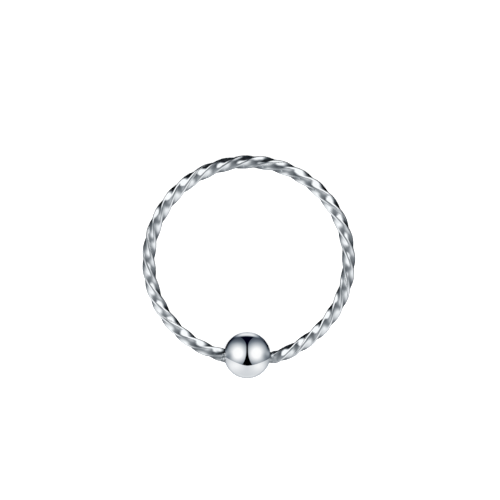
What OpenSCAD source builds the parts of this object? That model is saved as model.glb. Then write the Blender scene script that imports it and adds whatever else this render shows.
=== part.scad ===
/* [Hoop] */
// Inner diameter of the closed hoop
inner_d = 10; // [8:0.5:14]
// How far the soldered end is bent in from the round
fixed_end_in = 0.03; // [0:0.01:0.12]
// How far the free end stands out from the round
free_end_out = 0.08; // [0:0.01:0.12]

/* [Twisted wire] */
// Thickness of the wire across two opposite ridges
wire_d = 0.72; // [0.6:0.01:0.9]
// Radius that rounds each ridge
ridge_r = 0.13; // [0.04:0.01:0.14]
// Left-handed turns of twist in a whole circle
turns = 7.87; // [6:0.01:10]
// Degrees from the bottom of the hoop to the first ridge on its top side
first_ridge = 5.5; // [0:0.1:11.4]
// Degrees that the ridges lie further round at the bottom of the hoop, and less far round at its top
ridge_drift = 0.75; // [-2:0.05:2]

/* [Ball] */
// Diameter of the ball
ball_d = 2.5; // [2:0.01:3]
// How far the middle of the ball lies inside the round of the wire
ball_in = 0.208; // [0.1:0.001:0.3]
// How far the middle of the ball lies off the bottom of the hoop, to the left
ball_left = 0.087; // [0:0.001:0.15]

/* [Solder joint] */
// Length of wire that the solder covers
solder_l = 0.1; // [0.08:0.01:0.2]
// How far the solder stands out from the ridges where it meets the ball
solder_flare = 0.05; // [0.02:0.01:0.1]

/* [Free end and socket] */
// Diameter of the filed peg on the free end
peg_d = 0.58; // [0.46:0.01:0.58]
// Gap between the peg and the wall of its socket
peg_gap = 0.03; // [0.02:0.01:0.05]
// Depth of the socket below the face of the ball
socket_depth = 0.7; // [0.5:0.05:0.8]

/* [Hidden] */

ROUND_FN = 96;
SILVER = [0.82, 0.83, 0.85];
RIDGES = 4;

wire_r = wire_d / 2;
ring_r = inner_d / 2 + wire_r;
ball_r = ball_d / 2;
peg_r = peg_d / 2;

// The hoop is drawn in its own plane, with the ball at the bottom and the top side towards +Z.
// Angles run from the bottom of the hoop, through its left side, top and right side.
ball_drop = ring_r - ball_in;
ball_centre = [-ball_left, -ball_drop, 0];
ball_angle = atan(ball_left / ball_drop);

// Degrees between the middle of the ball and where a wire at this radius enters it
function entry_angle(radius) =
    let(reach = norm([ball_left, ball_drop]))
    acos((reach * reach + radius * radius - ball_r * ball_r) / (2 * reach * radius));

fixed_entry = ball_angle + entry_angle(ring_r - fixed_end_in);
free_entry = 360 + ball_angle - entry_angle(ring_r + free_end_out);

// Over this many degrees past the ball each end leaves the round of the hoop
END_BEND = 26;

function clamp01(x) = min(1, max(0, x));
function ease(x) = let(u = clamp01(x)) u * u * (3 - 2 * u);

// Distance of the wire's middle line from the middle of the hoop
function line_radius(angle) =
    ring_r
    - fixed_end_in * ease((fixed_entry + END_BEND - angle) / END_BEND)
    + free_end_out * ease((angle - free_entry + END_BEND) / END_BEND);

function line_point(angle) = line_radius(angle) * [-sin(angle), -cos(angle), 0];

LINE_STEP = 0.05;
function unit(v) = v / norm(v);
function line_along(angle) = unit(line_point(angle + LINE_STEP) - line_point(angle - LINE_STEP));
function outward(along) = [-along.y, along.x, 0];

// A round-cornered square, as a list of [direction, distance] from its middle
ARC_STEPS = 3;
corner_distance = wire_r - ridge_r;
section = [
    for (ridge = [0:RIDGES - 1], step = [0:ARC_STEPS])
        let(
            turn = 360 / RIDGES * (step / ARC_STEPS - 0.5),
            across = corner_distance + ridge_r * cos(turn),
            aside = ridge_r * sin(turn)
        )
        [360 / RIDGES * ridge + atan2(aside, across), norm([across, aside])]
];
SIDES = len(section);

// One ring of the wire's skin. roundness 1 turns the square into a circle of radius round_r.
function ring_points(middle, along, twist, roundness, round_r) = [
    for (corner = section)
        let(
            direction = corner[0] + twist,
            distance = corner[1] * (1 - roundness) + round_r * roundness
        )
        middle + distance * (cos(direction) * [0, 0, 1] + sin(direction) * outward(along))
];

// The wire starts inside the ball, where the solder holds it. Just outside the ball its free end is
// bent to point straight across, and the twist runs out. There its ridges are filed down to the peg.
FIXED_DEPTH = 0.6;
BEND = 0.3;
BEND_TWIST_SHARE = 0.5;
FILED = 0.2;
PEG_OUT = 0.04;
fixed_start = fixed_entry - FIXED_DEPTH / ring_r * 180 / PI;
wire_end = free_entry - (BEND + PEG_OUT) / ring_r * 180 / PI;
bend_twist = BEND_TWIST_SHARE * BEND / ring_r * 180 / PI;
peg_along = [-1, 0, 0];
bend_middle = line_point(wire_end) + BEND / 2 * line_along(wire_end);
peg_root = bend_middle + BEND / 2 * peg_along;
peg_drop = peg_root.y - ball_centre.y;
peg_to_face = peg_root.x - ball_centre.x - sqrt(ball_r * ball_r - peg_drop * peg_drop);

function twist_at(angle) = turns * (angle - first_ridge - ridge_drift * cos(angle));

RINGS_PER_TURN = 24;
curve_steps = ceil((wire_end - fixed_start) / 360 * turns * RINGS_PER_TURN);
curve_rings = [
    for (step = [0:curve_steps])
        let(angle = fixed_start + (wire_end - fixed_start) * step / curve_steps)
        ring_points(line_point(angle), line_along(angle), twist_at(angle), 0, peg_r)
];

BEND_STEPS = 10;
bend_rings = [
    for (step = [1:BEND_STEPS])
        let(
            share = step / BEND_STEPS,
            from = line_point(wire_end) * (1 - share) + bend_middle * share,
            to = bend_middle * (1 - share) + peg_root * share,
            along = unit(to - from),
            roundness = ease(1 - (1 - share) * BEND / FILED)
        )
        ring_points(from * (1 - share) + to * share, along, twist_at(wire_end + share * bend_twist),
                    roundness, peg_r)
];

// The peg stops short of the floor of its socket, in a rounded tip.
END_GAP = 0.12;
DOME_STEPS = 4;
DOME_TURN = 80;
dome_start = peg_to_face + socket_depth - END_GAP - peg_r;
dome_rings = [
    for (step = [0:DOME_STEPS])
        let(rise = DOME_TURN * step / DOME_STEPS)
        ring_points(peg_root + (dome_start + peg_r * sin(rise)) * peg_along, peg_along,
                    twist_at(wire_end + bend_twist), 1, peg_r * cos(rise))
];

module twisted_wire() {
    rings = concat(curve_rings, bend_rings, dome_rings);
    last = len(rings) - 1;
    points = [for (ring = rings) for (point = ring) point];
    sides = [
        for (i = [0:last - 1], j = [0:SIDES - 1])
            let(
                k = (j + 1) % SIDES,
                a = i * SIDES + j,
                b = i * SIDES + k,
                c = (i + 1) * SIDES + k,
                d = (i + 1) * SIDES + j
            )
            each [[a, b, c], [a, c, d]]
    ];
    start_cap = [for (j = [SIDES - 1:-1:0]) j];
    end_cap = [for (j = [0:SIDES - 1]) last * SIDES + j];
    polyhedron(points = points, faces = concat([start_cap, end_cap], sides), convexity = 10);
}

module ball() {
    translate(ball_centre)
        sphere(r = ball_r, $fn = ROUND_FN);
}

// Turns the Z axis onto a direction that lies in the plane of the hoop.
module along_line(origin, along) {
    translate(origin)
        rotate([0, 0, atan2(along.y, along.x)])
            rotate([0, 90, 0])
                children();
}

// A concave collar of solder, which stands square on the face of the ball and closes in on the wire.
SOLDER_UNDER = 0.3;
SOLDER_STEPS = 6;
solder_thin_r = wire_r - ridge_r / 2;
solder_wide_r = wire_r + solder_flare;
solder_foot = sqrt(ball_r * ball_r - solder_wide_r * solder_wide_r) - ball_r;
module solder_fillet() {
    curve = [
        for (step = [0:SOLDER_STEPS])
            let(turn = 90 * step / SOLDER_STEPS)
            [
                solder_wide_r - (solder_wide_r - solder_thin_r) * sin(turn),
                solder_foot + (solder_l - solder_foot) * (1 - cos(turn))
            ]
    ];
    joint = line_point(fixed_entry);
    along_line(joint, unit(joint - ball_centre))
        rotate_extrude($fn = ROUND_FN)
            polygon(concat([[0, -SOLDER_UNDER], [solder_wide_r, -SOLDER_UNDER]], curve, [[0, solder_l]]));
}

// The blind hole in the ball that takes the peg.
SOCKET_OUT = 0.5;
module socket() {
    along_line(peg_root - SOCKET_OUT * peg_along, peg_along)
        cylinder(r = peg_r + peg_gap, h = SOCKET_OUT + peg_to_face + socket_depth, $fn = ROUND_FN);
}

// The hoop lies on its side, on the ball and on the wire across from it.
far_radius = line_radius(180);
rest_tilt = asin((ball_r - wire_r) / (far_radius + ball_drop));
rest_height = wire_r + far_radius * sin(rest_tilt);
back_edge = far_radius * cos(rest_tilt) + wire_r;
front_edge = -ball_drop * cos(rest_tilt) - ball_r;

module hoop() {
    color(SILVER)
        translate([0, -(back_edge + front_edge) / 2, rest_height])
            rotate([-rest_tilt, 0, 0])
                union() {
                    difference() {
                        union() {
                            ball();
                            solder_fillet();
                        }
                        socket();
                    }
                    twisted_wire();
                }
}

hoop();
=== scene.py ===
"""A small closed hoop of twisted square wire in polished silver, with a ball soldered to its left end."""

import math

import bpy
import numpy as np
from mathutils import Matrix, Vector


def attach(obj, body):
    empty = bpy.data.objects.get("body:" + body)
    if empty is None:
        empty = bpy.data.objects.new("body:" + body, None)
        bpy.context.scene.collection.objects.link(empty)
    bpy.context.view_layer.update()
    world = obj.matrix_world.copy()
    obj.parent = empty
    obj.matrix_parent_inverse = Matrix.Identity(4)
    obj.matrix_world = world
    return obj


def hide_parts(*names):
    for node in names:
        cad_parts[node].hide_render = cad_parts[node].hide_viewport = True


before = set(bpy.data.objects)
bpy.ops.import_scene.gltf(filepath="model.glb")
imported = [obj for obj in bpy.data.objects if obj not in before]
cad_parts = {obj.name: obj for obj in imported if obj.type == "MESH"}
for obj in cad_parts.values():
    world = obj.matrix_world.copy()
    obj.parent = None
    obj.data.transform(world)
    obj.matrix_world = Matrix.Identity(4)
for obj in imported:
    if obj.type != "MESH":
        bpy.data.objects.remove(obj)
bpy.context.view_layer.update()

# Driving sizes of the hoop, in millimetres and degrees, as in the solid that the pieces stand for
INNER_D = 10.0
FIXED_END_IN = 0.03
FREE_END_OUT = 0.08
WIRE_D = 0.72
RIDGE_R = 0.13
TURNS = 7.87
FIRST_RIDGE = 5.5
RIDGE_DRIFT = 0.75
BALL_D = 2.5
BALL_IN = 0.208
BALL_LEFT = 0.087
SOLDER_L = 0.1
SOLDER_FLARE = 0.05
PEG_D = 0.58
PEG_GAP = 0.03
SOCKET_DEPTH = 0.7
FIXED_DEPTH = 0.6
BEND = 0.3
FILED = 0.2
PEG_OUT = 0.04
END_BEND = 26.0
END_GAP = 0.12
RIDGES = 4
# Half the angle through which the slightly crowned flats turn, in radians
CROWN = 0.06

WIRE_R = WIRE_D / 2
RING_R = INNER_D / 2 + WIRE_R
BALL_R = BALL_D / 2
PEG_R = PEG_D / 2
SOCKET_R = PEG_R + PEG_GAP
BALL_DROP = RING_R - BALL_IN
BALL_MIDDLE = np.array([-BALL_LEFT, -BALL_DROP, 0.0])
UP = np.array([0.0, 0.0, 1.0])

# Numbers of faces along, across and around the pieces
RINGS_PER_TURN = 96
CORNER_STEPS = 6
FLAT_STEPS = 5
BEND_STEPS = 32
PEG_STEPS = 12
DOME_STEPS = 8
BALL_SIDES = 160
BALL_ROWS = 110
LIP_STEPS = 4
SOCKET_STEPS = 12
SOLDER_STEPS = 13

# The last ring of the peg's rounded tip stands this many degrees round it, just short of its middle
DOME_TURN = 84.0
# Radius that rounds the rim of the socket
LIP_R = 0.012
# The collar of solder starts this far outside the wire's skin and ends this far outside the ball's, and its
# hidden rim goes this deep into the ball
SOLDER_OVER_WIRE = 0.004
SOLDER_OVER_BALL = 0.001
SOLDER_IN_BALL = 0.05


def unit(v):
    return v / np.linalg.norm(v, axis=-1, keepdims=True)


def ease(x):
    u = np.clip(x, 0.0, 1.0)
    return u * u * (3 - 2 * u)


def entry_angle(radius):
    """Degrees between the middle of the ball and where a wire at this radius enters it."""
    reach = math.hypot(BALL_LEFT, BALL_DROP)
    share = (reach**2 + radius**2 - BALL_R**2) / (2 * reach * radius)
    return math.degrees(math.acos(share))


BALL_ANGLE = math.degrees(math.atan(BALL_LEFT / BALL_DROP))
FIXED_ENTRY = BALL_ANGLE + entry_angle(RING_R - FIXED_END_IN)
FREE_ENTRY = 360 + BALL_ANGLE - entry_angle(RING_R + FREE_END_OUT)


def line_radius(angle):
    """Distance of the wire's middle line from the middle of the hoop. Angles are degrees clockwise from its
    bottom, as the photograph shows it."""
    bent_in = FIXED_END_IN * ease((FIXED_ENTRY + END_BEND - angle) / END_BEND)
    stands_out = FREE_END_OUT * ease((angle - FREE_ENTRY + END_BEND) / END_BEND)
    return RING_R - bent_in + stands_out


def line_point(angle):
    angle = np.atleast_1d(np.asarray(angle, float))
    turn = np.radians(angle)
    away = np.stack([-np.sin(turn), -np.cos(turn), 0 * turn], axis=-1)
    return line_radius(angle)[:, None] * away


def line_along(angle):
    step = 0.05
    angle = np.atleast_1d(np.asarray(angle, float))
    return unit(line_point(angle + step) - line_point(angle - step))


def outward(along):
    return np.stack([-along[..., 1], along[..., 0], 0 * along[..., 0]], axis=-1)


# Just outside the ball the wire's free end is bent to point straight across, into its socket. The twist runs
# out in this bend, where it turns the wire half as far as it would elsewhere.
WIRE_END = FREE_ENTRY - math.degrees((BEND + PEG_OUT) / RING_R)
PEG_ALONG = np.array([-1.0, 0.0, 0.0])
BEND_TWIST = math.degrees(BEND / RING_R) / 2
BEND_MIDDLE = line_point(WIRE_END)[0] + BEND / 2 * line_along(WIRE_END)[0]
PEG_ROOT = BEND_MIDDLE + BEND / 2 * PEG_ALONG
PEG_DROP = PEG_ROOT[1] - BALL_MIDDLE[1]
PEG_TO_FACE = PEG_ROOT[0] - BALL_MIDDLE[0] - math.sqrt(BALL_R**2 - PEG_DROP**2)


def wire_section():
    """The round-cornered square across the wire, its flats slightly crowned, as directions in radians and
    distances from its middle."""
    middle = WIRE_R - RIDGE_R
    half_side = math.pi / RIDGES
    corner_turn = half_side - CROWN
    end = middle * np.array([math.cos(half_side), math.sin(half_side)])
    end += RIDGE_R * np.array([math.cos(CROWN), math.sin(CROWN)])
    flat_r = end[1] / math.sin(CROWN)
    flat_middle = end[0] - flat_r * math.cos(CROWN)
    points = []
    for ridge in range(RIDGES):
        at = 2 * half_side * ridge
        for turn in np.linspace(-corner_turn, corner_turn, CORNER_STEPS + 1):
            x, y = middle + RIDGE_R * math.cos(turn), RIDGE_R * math.sin(turn)
            points.append((at + math.atan2(y, x), math.hypot(x, y)))
        for turn in np.linspace(-CROWN, CROWN, FLAT_STEPS + 1)[1:-1]:
            x, y = flat_middle + flat_r * math.cos(turn), flat_r * math.sin(turn)
            points.append((at + half_side + math.atan2(y, x), math.hypot(x, y)))
    return np.array(points)


SECTION = wire_section()
SIDES = len(SECTION)


def twist_at(angle):
    """How far the wire is twisted there, in radians."""
    angle = np.asarray(angle, float)
    return np.radians(TURNS * (angle - FIRST_RIDGE - RIDGE_DRIFT * np.cos(np.radians(angle))))


def rings_at(middles, alongs, twists, roundness, round_r):
    """The wire's skin at each place along it. roundness 1 turns the square to a circle of radius round_r."""
    direction = SECTION[None, :, 0] + twists[:, None]
    distance = SECTION[None, :, 1] * (1 - roundness[:, None]) + (round_r * roundness)[:, None]
    out = outward(alongs)
    spoke = np.cos(direction)[..., None] * UP + np.sin(direction)[..., None] * out[:, None, :]
    return middles[:, None, :] + distance[..., None] * spoke


def square_rings(angles):
    """The skin of the twisted square wire at these degrees round the hoop."""
    return rings_at(line_point(angles), line_along(angles), twist_at(angles), 0 * angles, PEG_R)


# The hoop lies on its side, on the ball and on the wire across from it
FAR_RADIUS = float(line_radius(180.0))
REST_TILT = math.asin((BALL_R - WIRE_R) / (FAR_RADIUS + BALL_DROP))
REST_HEIGHT = WIRE_R + FAR_RADIUS * math.sin(REST_TILT)
BACK_EDGE = FAR_RADIUS * math.cos(REST_TILT) + WIRE_R
FRONT_EDGE = -BALL_DROP * math.cos(REST_TILT) - BALL_R
MM = 0.001
LIE = (
    Matrix.Scale(MM, 4)
    @ Matrix.Translation((0, -(BACK_EDGE + FRONT_EDGE) / 2, REST_HEIGHT))
    @ Matrix.Rotation(-REST_TILT, 4, "X")
)


def grid_faces(rows, columns):
    """Quads between rings of a skin that closes round its columns."""
    faces = []
    for i in range(rows - 1):
        for j in range(columns):
            k = (j + 1) % columns
            a, b = i * columns, (i + 1) * columns
            faces.append((a + j, b + j, b + k, a + k))
    return faces


def make_piece(name, points, faces, uv=None, tarnish_and_painted_shade=None):
    """A smooth mesh piece with flat end caps. Its points are in millimetres, with the hoop flat round the
    origin, and are laid on the floor as the hoop rests."""
    mesh = bpy.data.meshes.new(name)
    mesh.from_pydata([tuple(p) for p in points], [], faces)
    mesh.transform(LIE)
    if uv is not None:
        layer = mesh.uv_layers.new(name="grain")
        for loop in mesh.loops:
            layer.data[loop.index].uv = uv[loop.vertex_index]
    # Each point's darkening, from real stains and from painted shade and highlights, goes into this one
    # attribute
    attribute = mesh.attributes.new("tarnish_and_painted_shade", "FLOAT", "POINT")
    values = np.zeros(len(points), np.float32) if tarnish_and_painted_shade is None else tarnish_and_painted_shade.astype(np.float32)
    attribute.data.foreach_set("value", values)
    for face in mesh.polygons:
        face.use_smooth = len(face.vertices) <= 4
    mesh.update()
    piece = bpy.data.objects.new(name, mesh)
    bpy.context.scene.collection.objects.link(piece)
    return piece


def wire_rings():
    """The skin of the whole wire: the round stretch, the bend, at whose end the ridges are filed off, the
    straight peg and its rounded tip. Gives the rings and the length along the wire at each."""
    start = FIXED_ENTRY - math.degrees(FIXED_DEPTH / RING_R)
    angles = np.linspace(start, WIRE_END, int((WIRE_END - start) / 360 * TURNS * RINGS_PER_TURN))
    curve = square_rings(angles)

    share = np.linspace(0, 1, BEND_STEPS + 1)[1:]
    part = share[:, None]
    before = line_point(WIRE_END) * (1 - part) + BEND_MIDDLE * part
    after = BEND_MIDDLE * (1 - part) + PEG_ROOT * part
    middles = before * (1 - part) + after * part
    twists = twist_at(WIRE_END + share * BEND_TWIST)
    bend = rings_at(middles, unit(after - before), twists, ease(1 - (1 - share) * BEND / FILED), PEG_R)

    dome_start = PEG_TO_FACE + SOCKET_DEPTH - END_GAP - PEG_R
    straight = np.linspace(0, dome_start, PEG_STEPS + 1)[1:]
    rise = np.radians(np.linspace(0, DOME_TURN, DOME_STEPS + 1))[1:]
    past = np.concatenate([straight, dome_start + PEG_R * np.sin(rise)])
    radius = np.concatenate([PEG_R + 0 * straight, PEG_R * np.cos(rise)])
    alongs = np.repeat(PEG_ALONG[None], len(past), 0)
    peg = rings_at(PEG_ROOT + past[:, None] * PEG_ALONG, alongs, twists[-1] + 0 * past, 1 + 0 * past, radius)

    end = math.radians(WIRE_END) * RING_R
    length = np.concatenate([np.radians(angles) * RING_R, end + share * BEND, end + BEND + past])
    return np.concatenate([curve, bend, peg]), length


def make_wire():
    """The twisted wire. Beside the ball it is stained by the heat of soldering, and a band of painted shade
    runs along one side of it. Both end in millimetres from the ball, and the band's angles are round the
    wire, from its top."""
    stain, stain_end, stain_fade = 0.3, 0.3, 0.2
    # The band is painted shade: a darker colour along one fixed side round the wire, standing in for a dark
    # reflection
    shade_band, shade_band_end, shade_band_fade = 1.3, 0.6, 0.3
    shade_band_at, shade_band_half = math.radians(-27), math.radians(12)
    rings, length = wire_rings()
    rows = len(rings)
    points = rings.reshape(-1, 3)
    faces = grid_faces(rows, SIDES)
    faces.append(tuple(range(SIDES)))
    faces.append(tuple(range(rows * SIDES - 1, (rows - 1) * SIDES - 1, -1)))
    around = np.arange(SIDES) / SIDES * 2 * math.pi * WIRE_R
    uv = np.stack(np.broadcast_arrays(length[:, None], around[None, :]), axis=-1).reshape(-1, 2)
    from_ball = (length - math.radians(FIXED_ENTRY) * RING_R)[:, None]
    stained = stain * ease((stain_end - from_ball) / stain_fade)
    facing = SECTION[:, 0] + twist_at(np.degrees(length / RING_R))[:, None]
    beside = np.angle(np.exp(1j * (facing - shade_band_at))) / shade_band_half
    painted_shade_band = shade_band * ease((shade_band_end - from_ball) / shade_band_fade) * np.exp(-(beside**2))
    return make_piece("twisted_wire", points, faces, uv=uv, tarnish_and_painted_shade=np.maximum(stained, painted_shade_band).ravel())


def onto_ball(points, along):
    """Where lines from these points, along these directions, first meet the face of the ball."""
    start = points - BALL_MIDDLE
    b = (start * along).sum(-1)
    c = (start**2).sum(-1) - BALL_R**2
    return points + (-b - np.sqrt(b * b - c))[:, None] * along


def make_ball():
    """A sphere whose rows of faces spread out from the rim of the drilled socket, and the socket's wall."""
    root, along = PEG_ROOT, PEG_ALONG
    side = outward(along)
    turn = np.linspace(0, 2 * math.pi, BALL_SIDES, endpoint=False)
    spoke = np.cos(turn)[:, None] * UP + np.sin(turn)[:, None] * side

    def wall(radius, depth):
        return root + depth * along + radius * spoke

    def on_sphere(radius):
        """Where a cylinder round the socket's axis goes through the face of the ball."""
        return onto_ball(wall(radius, 0.0), along)

    rim = on_sphere(SOCKET_R)
    lip = on_sphere(SOCKET_R + LIP_R)
    pole = unit(lip.mean(0) - BALL_MIDDLE)
    across = unit(np.cross(pole, UP))
    beside = np.cross(pole, across)
    from_middle = (lip - BALL_MIDDLE) / BALL_R
    start_angle = np.arccos(np.clip(from_middle @ pole, -1, 1))
    azimuth = np.arctan2(from_middle @ beside, from_middle @ across)
    heading = np.cos(azimuth)[:, None] * across + np.sin(azimuth)[:, None] * beside
    rows = []
    for share in np.linspace(1, 0, BALL_ROWS, endpoint=False)[1:]:
        polar = start_angle + (math.pi - start_angle) * share
        direction = np.cos(polar)[:, None] * pole + np.sin(polar)[:, None] * heading
        rows.append(BALL_MIDDLE + BALL_R * direction)
    rows.append(lip)
    for step in range(1, LIP_STEPS):
        bend = math.pi / 2 * step / LIP_STEPS
        inner = SOCKET_R + LIP_R * (1 - math.sin(bend))
        rows.append(on_sphere(inner) + LIP_R * (1 - math.cos(bend)) * along)
    mouth = rim + LIP_R * along
    rows.append(mouth)
    floor = wall(SOCKET_R, PEG_TO_FACE + SOCKET_DEPTH)
    for share in np.linspace(0, 1, SOCKET_STEPS + 1)[1:]:
        rows.append(mouth * (1 - share) + floor * share)
    points = np.concatenate([*rows, (BALL_MIDDLE - BALL_R * pole)[None], floor.mean(0)[None]])
    count = len(rows)
    faces = grid_faces(count, BALL_SIDES)
    far_pole, floor_middle = count * BALL_SIDES, count * BALL_SIDES + 1
    last = (count - 1) * BALL_SIDES
    for j in range(BALL_SIDES):
        k = (j + 1) % BALL_SIDES
        faces.append((far_pole, j, k))
        faces.append((floor_middle, last + k, last + j))
    return make_piece("ball", points, faces)


def make_solder():
    """The concave collar that flows from the twisted wire's own skin out onto the face of the ball. Its
    colour is dark along its foot, where it meets the ball, and elsewhere is painted shade broken by painted
    highlights at places round the wire."""
    highlight_at, foot_dark, foot_fade, darkest = math.radians(12), 0.8, 0.3, 1.25
    top_angle = FIXED_ENTRY + math.degrees(SOLDER_L / RING_R)
    top, deep = square_rings(np.array([top_angle, FIXED_ENTRY]))
    middle, joint = line_point([top_angle, FIXED_ENTRY])
    axis = unit(joint - BALL_MIDDLE)
    away_from_wire = unit(top - middle)
    top = top + SOLDER_OVER_WIRE * away_from_wire
    corner = onto_ball(top, unit(deep - top))
    away = unit(corner - joint - ((corner - joint) @ axis)[:, None] * axis)
    to_foot = unit(corner + SOLDER_FLARE * away - BALL_MIDDLE)
    foot = BALL_MIDDLE + (BALL_R + SOLDER_OVER_BALL) * to_foot
    rows = [top - 2 * SOLDER_OVER_WIRE * away_from_wire]
    for share in np.linspace(0, 1, SOLDER_STEPS + 1):
        rows.append((1 - share) ** 2 * top + 2 * share * (1 - share) * corner + share**2 * foot)
    rows.append(BALL_MIDDLE + (BALL_R - SOLDER_IN_BALL) * to_foot)
    points = np.concatenate(rows)
    faces = grid_faces(len(rows), SIDES)
    faces.append(tuple(range(SIDES)))
    last = (len(rows) - 1) * SIDES
    faces.append(tuple(range(last + SIDES - 1, last - 1, -1)))
    down = np.linspace(0, 1, len(rows))[:, None]
    turn = SECTION[None, :, 0] + twist_at(top_angle)
    # Painted highlights: places round the wire where the painted shade is left off near the top of the
    # collar; the shade is full along its foot
    bright = 0.5 + 0.5 * np.cos(2 * RIDGES * (turn + highlight_at))
    dark = darkest - darkest * bright * ease((foot_dark - down) / foot_fade)
    return make_piece("solder_joint", points, faces, tarnish_and_painted_shade=dark.ravel())


class Value:
    """A number in a node tree. Arithmetic on it adds Math nodes."""

    def __init__(self, tree, socket):
        self.tree, self.socket = tree, socket

    def join(self, operation, *others):
        node = self.tree.nodes.new("ShaderNodeMath")
        node.operation = operation
        for slot, value in zip(node.inputs, (self, *others)):
            feed(self.tree, slot, value)
        return Value(self.tree, node.outputs[0])

    def __add__(self, other):
        return self.join("ADD", other)

    def __sub__(self, other):
        return self.join("SUBTRACT", other)

    def __mul__(self, other):
        return self.join("MULTIPLY", other)

    def __truediv__(self, other):
        return self.join("DIVIDE", other)

    def __pow__(self, other):
        return self.join("POWER", other)

    def __abs__(self):
        return self.join("ABSOLUTE")

    def flip(self):
        """1 less this number."""
        return self * -1.0 + 1.0

    def rise(self, low, high):
        """0 below low, 1 above high, and smooth between them."""
        node = self.tree.nodes.new("ShaderNodeMapRange")
        node.interpolation_type = "SMOOTHSTEP"
        feed(self.tree, node.inputs["Value"], self)
        feed(self.tree, node.inputs["From Min"], low)
        feed(self.tree, node.inputs["From Max"], high)
        return Value(self.tree, node.outputs["Result"])

    def ramp(self, stops):
        """The grey tone at this position in a table of (position, tone)."""
        node = self.tree.nodes.new("ShaderNodeValToRGB")
        feed(self.tree, node.inputs["Fac"], self)
        elements = node.color_ramp.elements
        while len(elements) < len(stops):
            elements.new(0.5)
        for element, (position, tone) in zip(elements, stops):
            element.position = position
            element.color = (tone, tone, tone, 1)
        return Value(self.tree, node.outputs["Color"])


def feed(tree, slot, value):
    """Puts a Value or a plain number into a node's input."""
    if isinstance(value, Value):
        tree.links.new(value.socket, slot)
    else:
        slot.default_value = value


def blend_tones(share, low, high):
    """low where share is 0 and high where it is 1."""
    return low * share.flip() + high * share


# The camera looks at the hoop a little from the side away from the ball, so the round hoop shows less tall
# than wide. These are the width and height of its wire's middle line in the photograph.
HOOP_WIDE_PX = 199.9
HOOP_TALL_PX = 197.2
OFF_SQUARE = math.acos(HOOP_TALL_PX / HOOP_WIDE_PX)
VIEW_TILT = REST_TILT + OFF_SQUARE
FACING = Vector((0, math.sin(VIEW_TILT), math.cos(VIEW_TILT)))
PHOTO_UP = Vector((0, math.cos(VIEW_TILT), -math.sin(VIEW_TILT)))
PHOTO_RIGHT = Vector((1, 0, 0))


def dot(tree, vector, direction):
    """How far a vector in the node tree reaches along a fixed direction."""
    node = tree.nodes.new("ShaderNodeVectorMath")
    node.operation = "DOT_PRODUCT"
    tree.links.new(vector, node.inputs[0])
    node.inputs[1].default_value = direction
    return Value(tree, node.outputs["Value"])


def spot(u, v, middle, size):
    """Distance from the middle of an oval patch, 1 at its edge."""
    return (((u - middle[0]) / size[0]) ** 2.0 + ((v - middle[1]) / size[1]) ** 2.0) ** 0.5


def glow(u, v, middle, size):
    """A soft patch, 1 in its middle, that fades out round it."""
    return (spot(u, v, middle, size) ** 2.0 * -1.0).join("EXPONENT")


# Tones of the ball's two panels by distance from their middle, and of what is behind the wire's panels from
# the bottom of the tent to its top
BALL_PANEL = [(0.0, 1.0), (0.2, 0.97), (0.3, 0.72), (0.4, 0.46), (0.5, 0.22), (0.6, 0.10), (0.75, 0.06)]
WIRE_BACKDROP = [(0.0, 0.45), (0.2, 0.28), (0.5, 0.26), (0.7, 0.06), (0.85, 0.03), (1.0, 0.35)]
# The wire's panels: middle, half size, brightness, and the share of the half size that is fully bright
WIRE_PANELS = [
    ((-0.40, 0.33), (0.38, 0.29), 1.35, 0.5),
    ((0.34, 0.38), (0.33, 0.48), 1.10, 0.5),
    ((-0.53, -0.42), (0.38, 0.42), 0.80, 0.3),
    ((0.38, -0.50), (0.44, 0.38), 0.65, 0.3),
]


def tent_round_ball(u, v, reach):
    """The tent as it lies round the ball: two soft white panels with a dark gap between them where the
    camera looks in, dark above with a pale strip at the very top, and a pale table below."""
    soft = 0.010
    aside = abs(u)
    panels = spot(aside, v, (0.40, 0.10), (0.95, 1.0)).ramp(BALL_PANEL)

    # The gap is narrowest at its waist and flares above and below it
    waist, waist_v = 0.040, 0.3
    above = (v - waist_v).join("MAXIMUM", 0.0)
    below = (v * -1.0 + waist_v).join("MAXIMUM", 0.0)
    gap_half = above ** 3.0 * 2.2 + below ** 2.7 * 0.465 + waist
    upper = panels * (aside - gap_half).rise(-soft, soft)

    # The panels are dimmer in their outer corners, at the top left, and round the rim of the ball above
    corners = glow(aside, v, (0.78, -0.03), (0.14, 0.16)) * 0.38
    top_left = u.rise(-0.1, 0.1).flip() * v.rise(0.45, 0.65) * 0.27
    upper = upper * corners.flip() * top_left.flip()
    top_right = u.rise(0.0, 0.4) * v.rise(0.55, 0.75) * 0.7
    high_rim = reach.rise(0.86, 0.97) * v.rise(-0.05, 0.35) * top_right.flip()
    upper = upper * high_rim.flip() + glow(aside, v, (0.92, 0.06), (0.10, 0.13)) * 0.22

    strip_foot = aside * aside * -0.30 - u * 0.02 + 0.845
    strip = aside.rise(0.2, 0.62).flip() * 0.76 + 0.08
    upper = blend_tones((v - strip_foot).rise(-0.04, 0.04), upper, strip)

    # The table is brightest below the panels and along its near edge, and dimmer far out
    table_edge = aside ** 1.5 * 0.35 - u * 0.04 - 0.44
    below_panels = glow(aside, v, (0.48, -0.42), (0.32, 0.26)) * 0.25
    near_edge = reach.rise(0.84, 0.94) * aside.rise(0.2, 0.5).flip() * 0.08
    far_out = aside.rise(0.65, 0.95) * 0.2 + u.rise(0.5, 0.9) * 0.1
    table = (below_panels + near_edge + 0.66) * far_out.flip()
    tone = blend_tones((table_edge - v).rise(-soft, soft), upper, table)
    return tone * (reach.rise(0.90, 1.0) * 0.35).flip()


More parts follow.
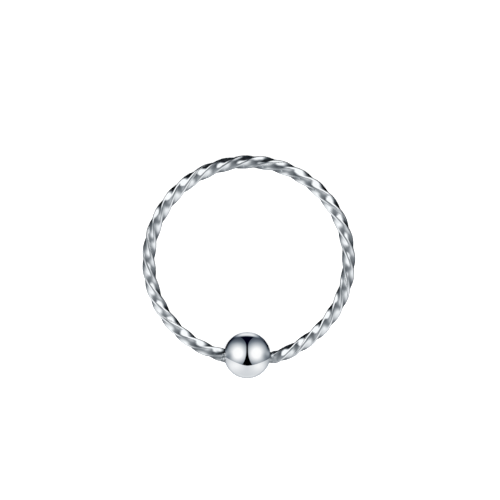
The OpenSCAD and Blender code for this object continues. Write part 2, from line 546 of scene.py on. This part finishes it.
def tent_round_wire(u, v, reach):
    """The tent as it lies round the wire, higher up in it: two bright panels above and two paler ones below,
    with a soft dark gap between left and right, and dark above the panels and round the rim."""
    tone = (v * 0.5 + 0.5).ramp(WIRE_BACKDROP)
    # Each panel fades out from its core to an edge that lies further out where the core is small
    for middle, size, bright, core in WIRE_PANELS:
        edge = 1.45 - core * 0.7
        tone = tone + spot(u, v, middle, size).rise(core, edge).flip() * bright
    gap = abs(u + 0.02).rise(0.05, 0.22).flip() * (v.rise(-0.3, 0.1) * 0.4 + 0.1)
    rim = (reach.rise(0.4, 1.0) * 0.4).flip() * (reach.rise(0.8, 0.98) * 0.5).flip()
    high_rim = reach.rise(0.6, 0.9) * v.rise(0.1, 0.45) * 0.75
    return tone * gap.flip() * rim * high_rim.flip()


TENT_STRENGTH = 1.06
# How much the tent's tones lean from red to blue, round the wire and round the ball
WIRE_COLD = 0.045
BALL_COLD = 0.085
# Blue that is left in the darkest places above the ball
BALL_DARK_BLUE = 0.006


def make_light_tent():
    """The world: a white tent. A place in it is given as u (right) and v (up) on a mirror ball of radius 1,
    looked at from the FACING side, that shows it there. A world has no nearness, so the tent is drawn twice:
    for the ball, which mirrors it without any blur, and for the satin of the wire, which lies higher up."""
    world = bpy.data.worlds.new("light_tent")
    bpy.context.scene.world = world
    world.use_nodes = True
    tree = world.node_tree
    tree.nodes.clear()
    coordinates = tree.nodes.new("ShaderNodeTexCoord")
    halfway = tree.nodes.new("ShaderNodeVectorMath")
    halfway.operation = "ADD"
    tree.links.new(coordinates.outputs["Generated"], halfway.inputs[0])
    halfway.inputs[1].default_value = FACING
    normal = tree.nodes.new("ShaderNodeVectorMath")
    normal.operation = "NORMALIZE"
    tree.links.new(halfway.outputs[0], normal.inputs[0])
    u = dot(tree, normal.outputs[0], PHOTO_RIGHT)
    v = dot(tree, normal.outputs[0], PHOTO_UP)
    reach = (u * u + v * v) ** 0.5
    path = tree.nodes.new("ShaderNodeLightPath")
    sharp = Value(tree, path.outputs["Is Singular Ray"])
    tone = blend_tones(sharp, tent_round_wire(u, v, reach), tent_round_ball(u, v, reach))
    tone = tone.join("MINIMUM", 1.0)

    cold = sharp * (BALL_COLD - WIRE_COLD) + WIRE_COLD
    dark_blue = sharp * v.rise(0.2, 0.6) * BALL_DARK_BLUE
    colour = tree.nodes.new("ShaderNodeCombineColor")
    feed(tree, colour.inputs["Red"], tone ** (cold + 1.0))
    feed(tree, colour.inputs["Green"], tone)
    feed(tree, colour.inputs["Blue"], tone ** cold.flip() + dark_blue)
    tent = tree.nodes.new("ShaderNodeBackground")
    tree.links.new(colour.outputs["Color"], tent.inputs["Color"])
    tent.inputs["Strength"].default_value = TENT_STRENGTH
    plain = tree.nodes.new("ShaderNodeBackground")
    plain.inputs["Color"].default_value = (1, 1, 1, 1)
    mix = tree.nodes.new("ShaderNodeMixShader")
    tree.links.new(path.outputs["Is Camera Ray"], mix.inputs["Fac"])
    tree.links.new(tent.outputs[0], mix.inputs[1])
    tree.links.new(plain.outputs[0], mix.inputs[2])
    output = tree.nodes.new("ShaderNodeOutputWorld")
    tree.links.new(mix.outputs[0], output.inputs["Surface"])


PER_MM = 1 / MM
MICRON = 1e-6


def noise(tree, place, scale, stretch=(1, 1, 1), turn=(0, 0, 0), detail=2.0):
    """Smooth noise between 0 and 1, drawn out along the directions that stretch makes small."""
    mapping = tree.nodes.new("ShaderNodeMapping")
    tree.links.new(place, mapping.inputs["Vector"])
    mapping.inputs["Scale"].default_value = [scale * x for x in stretch]
    mapping.inputs["Rotation"].default_value = [math.radians(x) for x in turn]
    node = tree.nodes.new("ShaderNodeTexNoise")
    node.inputs["Scale"].default_value = 1.0
    node.inputs["Detail"].default_value = detail
    tree.links.new(mapping.outputs["Vector"], node.inputs["Vector"])
    return Value(tree, node.outputs["Fac"])


def hairlines(tree, place, turn, width):
    """1 on thin broken scratches that all run about one way, and 0 between them."""
    wander = noise(tree, place, PER_MM, (0.35, 9, 9), turn, detail=1.0)
    present = noise(tree, place, 1.3 * PER_MM, turn=turn).rise(0.5, 0.62)
    return abs(wander - 0.5).rise(0.0, width).flip() * present


def make_silver(name, shade, smooth, hazy, scratched, wave, drawn):
    """Polished silver, dark where the piece's tarnish and painted shade is 1: faint tone changes, hazy and
    bright patches and hairline scratches, with drawing lines and streaks along the grain where drawn is
    above
    0. smooth and hazy are the least and most roughness. scratched, wave and drawn are heights in microns."""
    material = bpy.data.materials.new(name)
    material.use_nodes = True
    tree = material.node_tree
    shader = tree.nodes["Principled BSDF"]
    place = tree.nodes.new("ShaderNodeTexCoord").outputs["Object"]
    attribute = tree.nodes.new("ShaderNodeAttribute")
    attribute.attribute_name = "tarnish_and_painted_shade"
    tarnish_and_painted_shade = Value(tree, attribute.outputs["Fac"])

    patches = noise(tree, place, 0.9 * PER_MM, detail=3.0)
    haze = noise(tree, place, 5 * PER_MM, detail=3.0).rise(0.35, 0.75)
    waves = noise(tree, place, 2.2 * PER_MM, detail=1.0)
    scratches = hairlines(tree, place, (20, 35, 0), 0.010)
    scratches = scratches + hairlines(tree, place, (-50, 10, 65), 0.008)

    # Tarnish and painted shade darken the metal, lean it from red to blue and make it rougher
    tone = (patches * 0.10 + 0.95) * (tarnish_and_painted_shade * -0.65 + 1.0)
    colour = tree.nodes.new("ShaderNodeCombineColor")
    feed(tree, colour.inputs["Red"], tone * (tarnish_and_painted_shade * -0.05 + 1.0) * shade[0])
    feed(tree, colour.inputs["Green"], tone * shade[1])
    feed(tree, colour.inputs["Blue"], tone * (tarnish_and_painted_shade * 0.04 + 1.0) * shade[2])
    tree.links.new(colour.outputs["Color"], shader.inputs["Base Color"])

    if hazy > 0:
        rough = haze * (hazy - smooth) + smooth + tarnish_and_painted_shade * 0.15 + scratches.rise(0.3, 0.9) * hazy
        feed(tree, shader.inputs["Roughness"], rough)
    else:
        shader.inputs["Roughness"].default_value = smooth

    height = waves * wave - scratches * scratched
    if drawn > 0:
        grain = tree.nodes.new("ShaderNodeUVMap")
        grain.uv_map = "grain"
        streaks = noise(tree, grain.outputs["UV"], 1.0, (0.9, 5.0, 1), detail=1.0)
        lines = noise(tree, grain.outputs["UV"], 1.0, (0.7, 24, 1))
        height = height + streaks * drawn + lines * (drawn * 0.16)
    bump = tree.nodes.new("ShaderNodeBump")
    bump.inputs["Distance"].default_value = MICRON
    feed(tree, bump.inputs["Height"], height)
    tree.links.new(bump.outputs["Normal"], shader.inputs["Normal"])
    shader.inputs["Metallic"].default_value = 1.0
    return material


def make_floor():
    """A plain white card, far larger than the picture."""
    half = 0.3
    mesh = bpy.data.meshes.new("floor")
    corners = [(-half, -half, 0), (half, -half, 0), (half, half, 0), (-half, half, 0)]
    mesh.from_pydata(corners, [], [(0, 1, 2, 3)])
    floor = bpy.data.objects.new("floor", mesh)
    bpy.context.scene.collection.objects.link(floor)
    material = bpy.data.materials.new("white_card")
    material.use_nodes = True
    shader = material.node_tree.nodes["Principled BSDF"]
    shader.inputs["Base Color"].default_value = (0.95, 0.95, 0.95, 1)
    shader.inputs["Roughness"].default_value = 0.9
    shader.inputs["Specular IOR Level"].default_value = 0.0
    mesh.materials.append(material)
    floor.visible_glossy = False


def make_lights():
    """One soft round lamp above the hoop, for the card alone: the metal shows the tent."""
    light = bpy.data.lights.new("soft_top", "AREA")
    light.shape = "DISK"
    light.size = 0.5
    light.energy = 3.0
    lamp = bpy.data.objects.new("soft_top", light)
    lamp.location = (0, 0, 0.3)
    lamp.visible_glossy = False
    bpy.context.scene.collection.objects.link(lamp)


# Where the photograph shows the middle of the hoop, in its 500 by 500 pixels
PHOTO_SIZE = 500
HOOP_MIDDLE_PX = (248.8, 260.85)
# A long lens, in millimetres, because the photograph shows hardly any perspective
LENS = 400.0
SENSOR = 36.0


def make_camera():
    """A camera set so far off that the hoop is as wide in the picture as in the photograph."""
    data = bpy.data.cameras.new("camera")
    data.lens = LENS
    data.sensor_width = SENSOR
    data.clip_start = 0.001
    camera = bpy.data.objects.new("camera", data)
    bpy.context.scene.collection.objects.link(camera)
    pixel = 2 * RING_R * MM / HOOP_WIDE_PX
    distance = PHOTO_SIZE * pixel * LENS / SENSOR
    hoop_middle = LIE @ Vector((0, 0, 0))
    right = (PHOTO_SIZE / 2 - HOOP_MIDDLE_PX[0]) * pixel
    up = (HOOP_MIDDLE_PX[1] - PHOTO_SIZE / 2) * pixel
    place = hoop_middle + FACING * distance + PHOTO_RIGHT * right + PHOTO_UP * up
    turn = Matrix((PHOTO_RIGHT, PHOTO_UP, FACING)).transposed().to_4x4()
    camera.matrix_world = Matrix.Translation(place) @ turn
    bpy.context.scene.camera = camera


make_camera()
make_light_tent()
make_floor()
make_lights()
mirror_silver = make_silver(
    "mirror_silver", (0.945, 0.95, 0.955), smooth=0.0, hazy=0.0, scratched=0.05, wave=0.3, drawn=0.0
)
drawn_silver = make_silver(
    "drawn_silver", (0.895, 0.92, 0.94), smooth=0.03, hazy=0.09, scratched=0.25, wave=9.0, drawn=13.0
)
wire = make_wire()
ball = make_ball()
solder = make_solder()
# The photographed ball's panels show no rings of the wire across them
wire.visible_glossy = False
for piece, silver in ((wire, drawn_silver), (ball, mirror_silver), (solder, drawn_silver)):
    piece.data.materials.append(silver)
    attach(piece, "root")
    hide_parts("hoop")

bpy.context.scene.view_settings.view_transform = "Standard"
